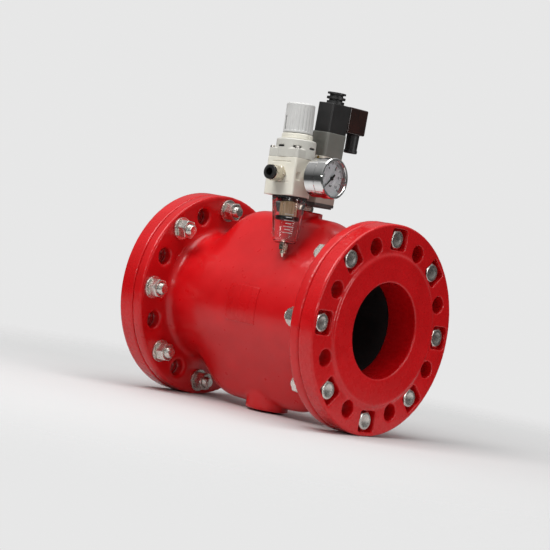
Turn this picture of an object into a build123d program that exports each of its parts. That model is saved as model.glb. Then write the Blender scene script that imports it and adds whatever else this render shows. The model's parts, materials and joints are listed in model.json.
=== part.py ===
from build123d import *
import math
import os

# Air-operated pinch valve, DN100 PN16, with its filter regulator and solenoid valve.
# Origin: centre of the flow bore at mid-length. +X along the pipe, +Z up. Millimetres.

# ---- driving dimensions -------------------------------------------------------------
BORE_R = 50.0                 # flow bore, DN100
FACE_TO_FACE = 280.0          # over the raised faces
FLANGE_R = 110.0
RAISED_R = 79.0
RAISED_H = 2.0
END_FLANGE_T = 18.6
CASING_FLANGE_T = 13.0
PIPE_PCD = 180.0
PIPE_HOLE_R = 9.0
BOLT_PCD = 188.8
BOLT_R = 5.9                  # M12 shank
BOLT_HOLE_R = 6.75
BOLT_LENGTH = 40.0
HEX_AF = 18.0                 # M12 head and nut
HEAD_H = 7.5
NUT_H = 10.8
WASHER_R = 12.0
WASHER_T = 2.5
POCKET_RADIAL = 22.0
POCKET_WIDE = 24.0
POCKET_DEPTH = 10.0
POCKET_CORNER = 3.0
BOLT_COUNT = 8                # body bolts and pipe holes, each end
PIPE_HOLE_FIRST = 22.5        # pipe holes sit between the body bolts, degrees

NECK_R = 68.0                 # neck and flat flank of the barrel
BARREL_TIP_R = 24.0           # rounded top and bottom of the barrel's oval
BARREL_TIP_Z = 78.0
CREST_HALF = 42.0             # straight length of the crest, each side of the middle
SHOULDER_R = 50.0
WALL = 8.0
PAD_X0, PAD_X1 = -21.0, 20.0  # raised pad on the near flank
PAD_Z0, PAD_Z1 = -18.5, 20.5
PAD_H = 0.5
BOSS_R = 23.0
BOSS_TOP = 108.0
BOSS_ROOT = 80.0              # inside the barrel's wall
SNOUT_END = 102.0             # inner end of each end flange's snout
SNOUT_TIP_T = 3.0
SNOUT_ROOT_T = 7.5
SEAT_R = 62.0                 # casing bore that the sleeve's ends sit in
SLEEVE_T = 7.0
SLEEVE_THIN_X = 84.0          # the sleeve thickens from here
SLEEVE_THICK_X = 94.0         # to here

COLUMN_X0, COLUMN_X1 = -15.0, 30.0
COLUMN_HALF_Y = 15.5
COIL_X = 20.0                 # axis of the coil and armature
COIL_HALF_X, COIL_HALF_Y = 10.5, 14.5
PORT_R = 6.58                 # G1/4 thread, major radius
THREAD_GAP = 0.02
SLIDE_GAP = 0.06              # round a sliding or turning piece

REG_X, REG_Y, REG_Z = 21.0, -48.0, 140.5      # regulator's port centre
REG_TILT = -4.0                               # turned about its inlet nipple, degrees
REG_R = 20.8
SCREW_R = 3.0
GAUGE_R = 21.25
GAUGE_FACE = 58.1
TUBE_R = 4.1                  # 8 mm push-in tube
TUBE_SLIDE_R = 4.35           # the release ring and the seal clear the tube
TUBE_RING_R = 7.45
NIPPLE_BORE_R = 3.4

FACE_X = FACE_TO_FACE / 2 - RAISED_H          # outer face of an end flange
SEAM_X = FACE_X - END_FLANGE_T                # joint between end flange and casing
BACK_X = SEAM_X - CASING_FLANGE_T             # back of the casing flange
POCKET_X = FACE_X - POCKET_DEPTH

os.makedirs("parts", exist_ok=True)


# ---- shape helpers ------------------------------------------------------------------
def save(name, *solids):
    """Write one node; several solids become one group."""
    shape = solids[0] if len(solids) == 1 else Compound(children=list(solids))
    shape.label = name
    export_step(shape, f"parts/{name}.step")


def block(x0, x1, y0, y1, z0, z1):
    return Pos((x0 + x1) / 2, (y0 + y1) / 2, (z0 + z1) / 2) * Box(x1 - x0, y1 - y0, z1 - z0)


def rod_x(radius, x0, x1, y=0.0, z=0.0):
    return Pos((x0 + x1) / 2, y, z) * Rot(0, 90, 0) * Cylinder(radius, x1 - x0)


def rod_y(radius, y0, y1, x=0.0, z=0.0):
    return Pos(x, (y0 + y1) / 2, z) * Rot(90, 0, 0) * Cylinder(radius, y1 - y0)


def rod_z(radius, z0, z1, x=0.0, y=0.0):
    return Pos(x, y, (z0 + z1) / 2) * Cylinder(radius, z1 - z0)


def turned(points):
    """Solid of revolution about Z from (radius, height) corners."""
    outline = make_face(Plane.XZ * Polyline(*points, close=True))
    return revolve(outline, Axis.Z)


def turned_x(points):
    """The same about X: (radius, x) corners."""
    return Rot(0, 90, 0) * turned(points)


def hexagon(across_flats, height, chamfer=1.2):
    """Hexagon from z = 0 up, its top and bottom corners turned off."""
    prism = extrude(RegularPolygon(across_flats / 2, 6, major_radius=False), height)
    inner = across_flats / 2 - 0.3
    outer = across_flats / math.sqrt(3) + 0.1
    envelope = turned([(0, 0), (inner, 0), (outer, chamfer), (outer, height - chamfer),
                       (inner, height), (0, height)])
    return prism & envelope


def helix_spring(radius, wire, z0, z1, turns):
    """Round-wire spring standing on z0."""
    rise = z1 - z0 - 2 * wire
    path = Helix(pitch=rise / turns, height=rise, radius=radius)
    start = Plane(origin=path @ 0, z_dir=path % 0)
    coil = sweep(start * Circle(wire), path=path)
    return Pos(0, 0, z0 + wire) * coil


def around(solid, count, first=0.0):
    """Copies of a solid spaced evenly about the X axis."""
    step = 360 / count
    return [Rot(first + step * i, 0, 0) * solid for i in range(count)]


def cut_all(body, tools):
    for tool in tools:
        body = body - tool
    return body


def mirrored(solid):
    return mirror(solid, about=Plane.YZ)


# ---- pinch valve casing -------------------------------------------------------------
def oval(x, flank_r, tip_r, tip_z):
    """Barrel section at x: a circle for the flanks, drawn out to a rounded tip above and below."""
    lean = math.asin((flank_r - tip_r) / tip_z)
    side = (flank_r * math.cos(lean), flank_r * math.sin(lean))
    tip = (tip_r * math.cos(lean), tip_z + tip_r * math.sin(lean))
    edges = [
        Line(side, tip),
        ThreePointArc(tip, (0, tip_z + tip_r), (-tip[0], tip[1])),
        Line((-tip[0], tip[1]), (-side[0], side[1])),
        ThreePointArc((-side[0], side[1]), (-flank_r, 0), (-side[0], -side[1])),
        Line((-side[0], -side[1]), (-tip[0], -tip[1])),
        ThreePointArc((-tip[0], -tip[1]), (0, -tip_z - tip_r), (tip[0], -tip[1])),
        Line((tip[0], -tip[1]), (side[0], -side[1])),
        ThreePointArc((side[0], -side[1]), (flank_r, 0), side),
    ]
    return Plane(origin=(x, 0, 0), x_dir=(0, 1, 0), z_dir=(1, 0, 0)) * make_face(edges)


def barrel(flank_r, tip_r):
    """Oval barrel whose crest runs straight and then rounds down to the necks."""
    reach = [0, 9, 17, 25, 33, 40, 45]
    stations = [CREST_HALF + d for d in reach]
    drops = [SHOULDER_R - math.sqrt(SHOULDER_R ** 2 - d ** 2) for d in reach]
    half = list(zip(stations, drops))
    ends = [(-x, d) for x, d in reversed(half)] + half
    return loft([oval(x, flank_r, tip_r, BARREL_TIP_Z - drop) for x, drop in ends])


def casing_flange():
    """Casing flange at the +X end, with its fillet into the neck."""
    fillet_r = 6.0
    blend = turned_x([(NECK_R - 2, BACK_X - fillet_r), (NECK_R + 0.3, BACK_X - fillet_r),
                      (NECK_R + 1.2, BACK_X - 3.2), (NECK_R + 3.2, BACK_X - 1.2),
                      (NECK_R + fillet_r, BACK_X), (NECK_R - 2, BACK_X)])
    disc = rod_x(FLANGE_R, BACK_X, SEAM_X)
    return chamfer(disc.edges().filter_by(GeomType.CIRCLE), 0.8) + blend


def drilled(disc, from_x, to_x):
    """Pipe bolt holes and body bolt holes through a +X flange."""
    pipe_hole = rod_x(PIPE_HOLE_R, from_x, to_x, z=PIPE_PCD / 2)
    body_hole = rod_x(BOLT_HOLE_R, from_x, to_x, z=BOLT_PCD / 2)
    disc = cut_all(disc, around(pipe_hole, BOLT_COUNT, PIPE_HOLE_FIRST))
    return cut_all(disc, around(body_hole, BOLT_COUNT))


def casing():
    flange = drilled(casing_flange(), BACK_X - 1, SEAM_X + 1)
    body = barrel(NECK_R, BARREL_TIP_R) + rod_x(NECK_R, -BACK_X, BACK_X)
    body = body + flange + mirrored(flange)
    body = body + rod_z(BOSS_R, BOSS_ROOT, BOSS_TOP) + rod_z(BOSS_R, -BOSS_TOP, -BOSS_ROOT)
    pad_room = block(PAD_X0, PAD_X1, -NECK_R - 2, -50, PAD_Z0, PAD_Z1)
    pad = rod_x(NECK_R + PAD_H, PAD_X0, PAD_X1) & pad_room
    body = body + pad
    body = body - barrel(NECK_R - WALL, BARREL_TIP_R - WALL) - rod_x(SEAT_R, -SEAM_X - 1, SEAM_X + 1)
    body = body - rod_z(PORT_R, BOSS_ROOT, BOSS_TOP + 1) - rod_z(PORT_R, -BOSS_TOP - 1, -BOSS_ROOT)
    return body


def end_flange():
    """End flange at the +X side: raised face, pockets for the bolt heads, tapered snout."""
    disc = rod_x(FLANGE_R, SEAM_X, FACE_X)
    disc = chamfer(disc.edges().filter_by(GeomType.CIRCLE), 0.9)
    raised = rod_x(RAISED_R, FACE_X - 1, FACE_X + RAISED_H)
    snout = turned_x([(BORE_R - 1, SNOUT_END), (BORE_R + SNOUT_TIP_T, SNOUT_END),
                      (BORE_R + SNOUT_ROOT_T, SEAM_X + 0.5), (BORE_R - 1, SEAM_X + 0.5)])
    body = drilled(disc + raised + snout, SEAM_X - 1, FACE_X + 1)
    pocket = block(POCKET_X, FACE_X + 1, -POCKET_WIDE / 2, POCKET_WIDE / 2,
                   BOLT_PCD / 2 - POCKET_RADIAL / 2, BOLT_PCD / 2 + POCKET_RADIAL / 2)
    pocket = fillet(pocket.edges().filter_by(Axis.X), POCKET_CORNER)
    body = cut_all(body, around(pocket, BOLT_COUNT))
    return body - rod_x(BORE_R, SNOUT_END - 1, FACE_X + RAISED_H + 1)


def sleeve():
    """Rubber sleeve, thick at the ends where the snouts press it into the casing."""
    lip = SEAM_X - 0.1
    half = [(BORE_R, SNOUT_END - 0.1), (BORE_R + SNOUT_TIP_T + 0.1, SNOUT_END - 0.1),
            (BORE_R + SNOUT_ROOT_T, lip), (SEAT_R - 0.05, lip), (SEAT_R - 0.05, SLEEVE_THICK_X),
            (BORE_R + SLEEVE_T, SLEEVE_THIN_X)]
    other = [(r, -x) for r, x in reversed(half)]
    return turned_x(half + other)


def bolt_at_top():
    """Hexagon bolt of the +X end, at the top of the bolt circle."""
    head = Pos(POCKET_X, 0, BOLT_PCD / 2) * Rot(0, 90, 0) * hexagon(HEX_AF, HEAD_H, 1.6)
    tip = POCKET_X - BOLT_LENGTH
    shank = turned_x([(0, tip), (BOLT_R - 1.0, tip), (BOLT_R, tip + 1.0), (BOLT_R, POCKET_X + 0.5),
                      (0, POCKET_X + 0.5)])
    return head + Pos(0, 0, BOLT_PCD / 2) * shank


def washer_at_top():
    ring = rod_x(WASHER_R, BACK_X - WASHER_T, BACK_X) - rod_x(BOLT_HOLE_R - 0.2, BACK_X - 4, BACK_X + 1)
    return Pos(0, 0, BOLT_PCD / 2) * ring


def nut_at_top():
    start = BACK_X - WASHER_T - NUT_H
    body = Rot(0, 90, 0) * hexagon(HEX_AF, NUT_H, 1.6)
    body = Pos(start, 0, 0) * body - rod_x(BOLT_R + THREAD_GAP, start - 1, BACK_X)
    return Pos(0, 0, BOLT_PCD / 2) * body


def both_ends(solid):
    ring = around(solid, BOLT_COUNT)
    return ring + [mirrored(item) for item in ring]


def socket_plug():
    """Flush plug with a hexagon socket in the bottom air boss."""
    plug = rod_z(PORT_R - THREAD_GAP, -BOSS_TOP + 0.5, -BOSS_TOP + 12)
    socket = Pos(0, 0, -BOSS_TOP) * extrude(RegularPolygon(3.0, 6, major_radius=False), 6)
    return plug - socket


# ---- air control column -------------------------------------------------------------
AIR_NIPPLE_AF = 22.0
AIR_NIPPLE_HEX_H = 5.7
AIR_NIPPLE_BORE_R = 4.0


def air_nipple():
    thread = rod_z(PORT_R - THREAD_GAP, BOSS_TOP - 11, BOSS_TOP + 17)
    hexa = Pos(0, 0, BOSS_TOP) * hexagon(AIR_NIPPLE_AF, AIR_NIPPLE_HEX_H, 1.0)
    return thread + hexa - rod_z(AIR_NIPPLE_BORE_R, BOSS_TOP - 12, BOSS_TOP + 18)


BASE_Z0, BASE_Z1 = BOSS_TOP + AIR_NIPPLE_HEX_H, 118.5
HOUSING_Z1 = 164.0
COVER_Z1 = 168.0
ADAPTER_Z1 = 193.5
COIL_Z1 = 224.6
OVERRIDE_X, OVERRIDE_Z = 23.3, 166.0
OVERRIDE_R = 1.4
PLUNGER_R = 4.04
PLUNGER_Z0, PLUNGER_Z1 = 186.0, 212.0
POPPET_STEM_R = 2.0
CHAMBER_R = 7.0               # poppet's chamber in the housing
CHAMBER_Z0, CHAMBER_Z1 = 128.0, 158.0
EXHAUST_Z = 146.0
ADAPTER_X0, ADAPTER_X1 = 8.0, 31.0
TUBE_FOOT_R = 8.0             # armature tube's foot
TUBE_FOOT_Z = 182.0
COVER_SCREW_X, COVER_SCREW_Y = -11.0, 11.0
COVER_SCREW_HOLE_R = 1.6


def column_block(x0, x1, half_y, z0, z1, corner):
    body = block(x0, x1, -half_y, half_y, z0, z1)
    return fillet(body.edges().filter_by(Axis.Z), corner)


def base_plate():
    plate = column_block(COLUMN_X0, COLUMN_X1, COLUMN_HALF_Y, BASE_Z0, BASE_Z1, 1.0)
    step = block(COLUMN_X1 - 3, COLUMN_X1 + 1, -COLUMN_HALF_Y - 1, COLUMN_HALF_Y + 1,
                 BASE_Z0 - 1, BASE_Z0 + 1.8)
    return plate - step - rod_z(PORT_R, BASE_Z0 - 1, BASE_Z1 + 1)


def housing():
    """Poppet valve housing with its three ports and the poppet bore."""
    body = column_block(COLUMN_X0, COLUMN_X1, COLUMN_HALF_Y, BASE_Z1, HOUSING_Z1, 1.5)
    body = body - rod_z(PORT_R, BASE_Z1 - 1, 126)
    body = body - rod_z(CHAMBER_R, CHAMBER_Z0, CHAMBER_Z1, COIL_X)
    body = body - rod_z(POPPET_STEM_R + SLIDE_GAP, 150, HOUSING_Z1 + 1, COIL_X)
    body = body - rod_y(PORT_R, -COLUMN_HALF_Y - 1, -7.5, REG_X, REG_Z)
    body = body - rod_y(PORT_R, 7.5, COLUMN_HALF_Y + 1, COIL_X, EXHAUST_Z)
    return body - block(0, COIL_X, -2.5, 2.5, 132, 138) - rod_z(3.0, 120, 135)


def cover_plate():
    plate = column_block(COLUMN_X0, COLUMN_X1 + 0.4, COLUMN_HALF_Y + 0.4, HOUSING_Z1, COVER_Z1, 1.5)
    plate = plate - rod_z(POPPET_STEM_R + 0.1, HOUSING_Z1 - 1, COVER_Z1 + 1, COIL_X)
    plate = plate - rod_y(OVERRIDE_R + SLIDE_GAP, -COLUMN_HALF_Y - 1, -9.0, OVERRIDE_X, OVERRIDE_Z)
    screw_holes = [rod_z(COVER_SCREW_HOLE_R, HOUSING_Z1 - 1, COVER_Z1 + 1, COVER_SCREW_X, y)
                   for y in (-COVER_SCREW_Y, COVER_SCREW_Y)]
    return cut_all(plate, screw_holes)


def cover_screw(y):
    head = turned([(0, 0), (2.8, 0), (2.8, 1.4), (2.0, 2.1), (0, 2.1)])
    cross = block(-1.6, 1.6, -0.35, 0.35, 1.1, 3) + block(-0.35, 0.35, -1.6, 1.6, 1.1, 3)
    return Pos(COVER_SCREW_X, y, COVER_Z1) * (head - cross + rod_z(1.5, -4, 0.5))


def override_button():
    """Manual override, pressed in along +Y from the near side of the cover plate."""
    return rod_y(OVERRIDE_R, -COLUMN_HALF_Y - 1.0, -11.5, OVERRIDE_X, OVERRIDE_Z)


def adapter():
    """Grey block that carries the armature tube and the coil."""
    body = column_block(ADAPTER_X0, ADAPTER_X1, COLUMN_HALF_Y, COVER_Z1, ADAPTER_Z1, 3.0)
    body = body - rod_z(TUBE_FOOT_R + 0.1, TUBE_FOOT_Z - 0.1, ADAPTER_Z1 + 1, COIL_X)
    body = body - rod_z(5.2, 174, TUBE_FOOT_Z, COIL_X)
    return body - rod_z(POPPET_STEM_R + 0.1, COVER_Z1 - 1, 175, COIL_X)


def armature_tube():
    """Non-magnetic tube with its fixed core closing the top and a threaded end for the nut."""
    tube = turned([(PLUNGER_R + SLIDE_GAP, TUBE_FOOT_Z), (TUBE_FOOT_R, TUBE_FOOT_Z), (TUBE_FOOT_R, 192.5),
                   (5.4, 192.5), (5.4, 222), (4.0, 222), (4.0, 234.5), (0, 234.5), (0, 214),
                   (PLUNGER_R + SLIDE_GAP, 214)])
    return Pos(COIL_X, 0, 0) * tube


def plunger():
    body = turned([(0, PLUNGER_Z0), (3.4, PLUNGER_Z0), (PLUNGER_R, PLUNGER_Z0 + 0.6),
                   (PLUNGER_R, PLUNGER_Z1), (2.7, PLUNGER_Z1), (2.7, 204), (0, 204)])
    return Pos(COIL_X, 0, 0) * body


def poppet():
    body = turned([(0, 141), (2.6, 141), (2.6, 145), (6.0, 145), (6.0, 148), (POPPET_STEM_R, 148),
                   (POPPET_STEM_R, PLUNGER_Z0 - 0.2), (0, PLUNGER_Z0 - 0.2)])
    return Pos(COIL_X, 0, 0) * body


def coil():
    body = block(COIL_X - COIL_HALF_X, COIL_X + COIL_HALF_X, -COIL_HALF_Y, COIL_HALF_Y,
                 ADAPTER_Z1, COIL_Z1)
    body = fillet(body.edges().filter_by(Axis.Z), 1.6)
    body = chamfer(body.edges().group_by(Axis.Z)[-1], 0.6)
    return body - rod_z(5.5, ADAPTER_Z1 - 1, COIL_Z1 + 1, COIL_X)


def coil_nut():
    """Finned retaining nut: three flanges with two deep grooves."""
    outline = [(4.02, 0), (9.4, 0), (9.4, 2.8), (7.2, 3.2), (7.2, 4.6), (10.0, 5.0), (10.0, 7.4),
               (7.2, 7.8), (7.2, 9.8), (9.8, 10.2), (9.8, 12.0), (0, 12.0), (0, 10.2), (4.02, 10.2)]
    return Pos(COIL_X, 0, COIL_Z1) * turned(outline)


CONNECTOR_Y0, CONNECTOR_Y1 = 15.7, 45.0
CONNECTOR_Z0, CONNECTOR_Z1 = 197.5, 225.0
CONNECTOR_HALF_X = 10.3
CONNECTOR_SCREW_Z = 211.0
GLAND_Y = 38.0
GLAND_SEAL_R = 4.75
CABLE_R = 3.25


def connector():
    body = block(COIL_X - CONNECTOR_HALF_X, COIL_X + CONNECTOR_HALF_X, CONNECTOR_Y0, CONNECTOR_Y1,
                 CONNECTOR_Z0, CONNECTOR_Z1)
    body = fillet(body.edges().filter_by(Axis.Y), 1.2)
    body = fillet(body.faces().sort_by(Axis.Y)[-1].edges(), 1.6)
    body = body - rod_z(5.6, CONNECTOR_Z0 - 1, CONNECTOR_Z0 + 9, COIL_X, GLAND_Y)
    body = body - rod_y(3.6, CONNECTOR_Y1 - 2.4, CONNECTOR_Y1 + 1, COIL_X, CONNECTOR_SCREW_Z)
    return body - rod_y(1.6, CONNECTOR_Y0 - 1, CONNECTOR_Y1, COIL_X, CONNECTOR_SCREW_Z)


def connector_screw():
    head = rod_y(3.2, CONNECTOR_Y1 - 2.3, CONNECTOR_Y1 - 0.4, COIL_X, CONNECTOR_SCREW_Z)
    slot = block(COIL_X - 3, COIL_X + 3, CONNECTOR_Y1 - 1.2, CONNECTOR_Y1 + 1,
                 CONNECTOR_SCREW_Z - 0.4, CONNECTOR_SCREW_Z + 0.4)
    return head - slot + rod_y(1.5, CONNECTOR_Y0 + 0.5, CONNECTOR_Y1 - 2.0, COIL_X, CONNECTOR_SCREW_Z)


def gland_nut():
    outline = [(3.6, -20.0), (6.4, -20.0), (7.3, -19.2), (7.3, -16.8), (6.6, -16.2), (6.9, -0.1), (5.5, -0.1),
               (5.5, 8.0), (4.8, 8.0), (4.8, -17.0), (3.6, -18.4)]
    return Pos(COIL_X, GLAND_Y, CONNECTOR_Z0) * turned(outline)


def gland_seal():
    return Pos(COIL_X, GLAND_Y, CONNECTOR_Z0) * (rod_z(GLAND_SEAL_R, -15.5, -3) - rod_z(CABLE_R, -16, -2))


# ---- filter regulator, built about its own port centre -------------------------------
REGULATOR = Pos(REG_X, REG_Y, REG_Z) * Rot(0, REG_TILT, 0)
BODY_TOP = 18.0
BODY_Z0 = -21.5
KNOB_Z0, KNOB_Z1 = 44.6, 76.0
BOWL_Z0 = -71.1
SPRING_ROOM_R = 15.0            # diaphragm's recess in body and bonnet
FOOT_HALF = 20.0                # half width of the square front
BONNET_SCREW_X, BONNET_SCREW_Y = 17.0, -17.0
ELEMENT_R = 9.15
COLLAR_R = 9.0                  # round collars about the port and the gauge
POPPET_SPRING_Z0 = -12.5
GAUGE_SEAT = 20.3               # spot face for the gauge


def housing_outline(radius, half, front):
    """Regulator section: round at the back, square at the front."""
    square = Pos(0, -front / 2) * Rectangle(2 * half, front)
    return Circle(radius) + fillet(square.vertices(), 2.5)


def regulator_body():
    body = Pos(0, 0, BODY_Z0) * extrude(housing_outline(REG_R - 1.0, FOOT_HALF, 20.0), BODY_TOP - BODY_Z0)
    body = body + rod_y(COLLAR_R, 10, REG_R - 0.3) + rod_x(COLLAR_R, 10, GAUGE_SEAT)
    for z0 in (12.6, -8.3):
        body = body - block(-12.5, 12.5, -21, -19.0, z0, z0 + 1.1)
    scoop = Pos(21.5, -13.5, -1) * Rot(0, 0, -35) * Box(6, 7, 8)
    body = body - scoop
    body = body - rod_z(15.8, BODY_Z0 - 1, -13.0) - rod_z(SPRING_ROOM_R, 14.5, BODY_TOP + 1)
    body = body - rod_z(3.1, -14, -6.0) - rod_z(5.0, -6.1, 3.0) - rod_z(1.7, 2.9, 15)
    body = body - rod_y(PORT_R, 9.5, REG_R + 1) - rod_y(PORT_R, -21, -10.5)
    body = body - rod_y(3.0, -12, 11)
    return body - rod_x(4.85, 11, GAUGE_SEAT + 1) - rod_x(2.0, 0, 12)


def bonnet():
    """Bonnet: a square foot, a round waist and a threaded neck, hollow for the spring."""
    foot = Pos(0, 0, BODY_TOP) * extrude(housing_outline(REG_R, FOOT_HALF, 19.6), 9.6)
    foot = chamfer(foot.edges().group_by(Axis.Z)[-1], 0.8)
    waist = turned([(0, 27), (REG_R, 27), (REG_R, 36.9), (REG_R - 0.9, 37.8), (16.4, 38.5), (14.0, 38.5),
                    (14.0, 43.0), (12.0, 43.0), (12.0, 47.0), (0, 47.0)])
    body = foot + waist - rod_z(11.0, BODY_TOP - 1, 41.0) - rod_z(SCREW_R + SLIDE_GAP, 40, 48)
    body = body - rod_z(SPRING_ROOM_R, BODY_TOP - 1, BODY_TOP + 2.6)
    for turn in (-8, 45, 98):
        body = body - Rot(0, 0, turn) * Pos(0, -22, 29.5) * Box(9.0, 5.0, 2.4)
    return cut_all(body, [rod_z(1.6, BODY_TOP - 1, 27.7, x, BONNET_SCREW_Y)
                          for x in (-BONNET_SCREW_X, BONNET_SCREW_X)])


def bonnet_screw(x):
    screw = rod_z(1.5, 19, 27.6) + turned([(0, 27.6), (2.6, 27.6), (2.6, 29.2), (2.0, 29.8), (0, 29.8)])
    socket = Pos(0, 0, 28.6) * extrude(RegularPolygon(1.25, 6, major_radius=False), 2)
    return Pos(x, BONNET_SCREW_Y, 0) * (screw - socket)


def panel_nut():
    ring = turned([(14.05, 38.6), (16.2, 38.6), (16.2, 43.2), (15.6, 43.9), (14.05, 43.9)])
    notch = [Rot(0, 0, 60 * i) * Pos(16.4, 0, 41.2) * Box(1.6, 3.0, 6) for i in range(6)]
    return cut_all(ring, notch)


def knob():
    """Pull-and-turn knob: ribbed cup over the bonnet neck, splined to the screw."""
    cup = turned([(0, 69.0), (13.0, 69.0), (13.4, KNOB_Z0), (15.2, KNOB_Z0), (15.45, KNOB_Z0 + 0.6),
                  (14.95, KNOB_Z1 - 1.2), (14.0, KNOB_Z1), (0, KNOB_Z1)])
    hub = rod_z(5.5, 49.5, 69.5)
    body = cup + hub - rod_z(SCREW_R + SLIDE_GAP, 49, 66)
    grooves = [Rot(0, 0, 15 * i) * Pos(16.1, 0, 60) * Cylinder(1.35, 26) for i in range(24)]
    body = cut_all(body, grooves)
    slot = Rot(0, 0, -112) * Pos(14.6, 0, 54.5) * Box(2.4, 0.9, 16)
    return body - slot


def adjusting_screw():
    body = turned([(0, 27.0), (SCREW_R, 27.0), (SCREW_R, 39.0), (5.5, 39.0), (5.5, 40.4), (SCREW_R, 40.4),
                   (SCREW_R, 61.0), (2.4, 61.6), (0, 61.6)])
    return body


def spring_seat():
    return rod_z(10.4, 33.2, 36.0) - rod_z(SCREW_R + SLIDE_GAP, 33, 37)


def diaphragm():
    disc = rod_z(14.9, BODY_TOP + 0.05, BODY_TOP + 1.25)
    plate = rod_z(9.5, BODY_TOP + 1.25, BODY_TOP + 2.6)
    return disc + plate


def regulator_poppet():
    return turned([(0, -8.0), (3.0, -8.0), (3.0, -2.0), (4.4, -2.0), (4.4, 2.2), (1.6, 2.2), (1.6, 17.6),
                   (0, 17.6)])


def filter_element():
    return rod_z(ELEMENT_R, -42.0, -24.9) - rod_z(5.6, -43, -24)


def deflector():
    ring = rod_z(12.6, -24.8, -21.6) - rod_z(3.6, -26, -20)
    slots = [Rot(0, 0, 30 * i) * Pos(12.4, 0, -23.6) * Rot(25, 0, 0) * Box(3.2, 1.6, 5) for i in range(12)]
    return cut_all(ring, slots)


def baffle():
    """Baffle with the stem that holds the filter element up."""
    disc = turned([(0, -46.4), (11.6, -46.4), (12.5, -45.2), (12.5, -42.1), (0, -42.1)])
    notches = [Rot(0, 0, 45 * i) * Pos(12.6, 0, -44) * Box(2.0, 3.2, 6) for i in range(8)]
    return cut_all(disc, notches) + rod_z(3.0, -42.5, POPPET_SPRING_Z0)


def bowl():
    """Clear bowl: tapering shell with a domed end, a drain hole and a neck into the body."""
    outline = [(15.6, -13.2), (15.6, -21.4), (15.6, -23.6), (18.0, -23.6), (18.0, -26.0), (17.6, -28.0),
               (13.6, -65.6), (12.2, -68.6), (9.2, -70.5), (5.6, BOWL_Z0), (2.6, BOWL_Z0), (2.6, -68.9),
               (5.4, -68.9), (8.5, -68.4), (10.4, -66.9), (11.5, -64.6), (15.4, -28.0), (14.0, -24.0),
               (14.0, -13.2)]
    return turned(outline)


def bowl_seal():
    return rod_z(18.3, -23.5, BODY_Z0 - 0.1) - rod_z(15.65, -24, BODY_Z0)


def drain_seat():
    """Nickel drain body: flange inside the bowl, hexagon below it."""
    stem = turned([(1.1, -67.2), (4.6, -67.2), (4.6, -68.8), (2.55, -68.8), (2.55, BOWL_Z0 - 0.1),
                   (1.1, BOWL_Z0 - 0.1)])
    hexa = Pos(0, 0, -77.4) * hexagon(9.0, 6.2, 0.8)
    return stem + hexa - rod_z(1.1, -78, -66)


def drain_cock():
    """Turning cock below the drain hexagon, with a wing grip and a pointed outlet."""
    body = turned([(0, -77.5), (3.0, -77.5), (3.0, -81.0), (1.9, -83.2), (1.2, -84.6), (0, -84.6)])
    wings = [Rot(0, 0, 60 * i) * Pos(3.0, 0, -79.2) * Box(1.0, 0.9, 3.0) for i in range(6)]
    for wing in wings:
        body = body + wing
    return body + rod_z(1.04, -77.6, -70.0)


def inlet_fitting():
    """Push-in fitting: threaded spigot, hexagon against the port, round tube socket."""
    body = rod_y(PORT_R - THREAD_GAP, -20.0, -11.0) + rod_y(8.0, -33.5, -23.5)
    hexa = Pos(0, -20.0, 0) * Rot(90, 0, 0) * hexagon(15.6, 4.0, 0.8)
    body = body + hexa
    return body - rod_y(TUBE_R, -34, -14.5) - rod_y(2.5, -15, -10) - rod_y(5.6, -34, -27.3)


def release_ring():
    ring = rod_y(TUBE_RING_R, -36.8, -34.6) + rod_y(5.5, -34.7, -30.2)
    return ring - rod_y(TUBE_SLIDE_R, -37, -30)


def tube_seal():
    return rod_y(5.55, -29.0, -27.4) - rod_y(TUBE_SLIDE_R, -30, -27)


def outlet_nipple():
    """Straight nipple between the regulator and the poppet valve, along Y."""
    y0, y1 = REG_Y + REG_R - 0.3, -COLUMN_HALF_Y
    thread = rod_y(PORT_R - THREAD_GAP, y0 - 10.0, y1 + 7.5, REG_X, REG_Z)
    hexa = Pos(REG_X, y1 - 2.0, REG_Z) * Rot(90, 0, 0) * hexagon(17.0, y1 - y0 - 4.0, 0.9)
    return thread + hexa - rod_y(NIPPLE_BORE_R, y0 - 11, y1 + 8, REG_X, REG_Z)


# ---- pressure gauge, along the regulator's own X ------------------------------------
CASE_BACK = 32.2
DIAL_X = GAUGE_FACE - 6.0
CASE_R = 20.4
CASE_T = 1.2
DIAL_R = 19.1
POINTER_REST = -135             # zero stop, degrees


def gauge_stem():
    hexa = Pos(GAUGE_SEAT, 0, 0) * Rot(0, 90, 0) * hexagon(11.6, 11.7, 0.8)
    body = rod_x(4.83, 12.0, GAUGE_SEAT + 0.2) + hexa + rod_x(4.0, 31.9, CASE_BACK + 3.0)
    return body - rod_x(1.2, 11, CASE_BACK + 4)


def gauge_case():
    shell = turned_x([(4.05, CASE_BACK), (CASE_R - CASE_T, CASE_BACK), (CASE_R, CASE_BACK + CASE_T),
                      (CASE_R, GAUGE_FACE - 4.0), (CASE_R - CASE_T, GAUGE_FACE - 4.0),
                      (CASE_R - CASE_T, CASE_BACK + 1.4), (4.05, CASE_BACK + 1.4)])
    return shell


def gauge_bezel():
    return turned_x([(20.45, GAUGE_FACE - 12.0), (21.0, GAUGE_FACE - 12.0), (GAUGE_R, GAUGE_FACE - 11.0),
                     (GAUGE_R, GAUGE_FACE - 1.0), (20.4, GAUGE_FACE), (18.6, GAUGE_FACE),
                     (18.2, GAUGE_FACE - 1.2), (18.2, GAUGE_FACE - 1.6), (20.45, GAUGE_FACE - 1.6)])


def gauge_lens():
    return rod_x(20.3, GAUGE_FACE - 3.4, GAUGE_FACE - 1.7)


def gauge_dial():
    return rod_x(DIAL_R, DIAL_X - 0.8, DIAL_X) - rod_x(1.2, DIAL_X - 2, DIAL_X + 1)


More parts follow.
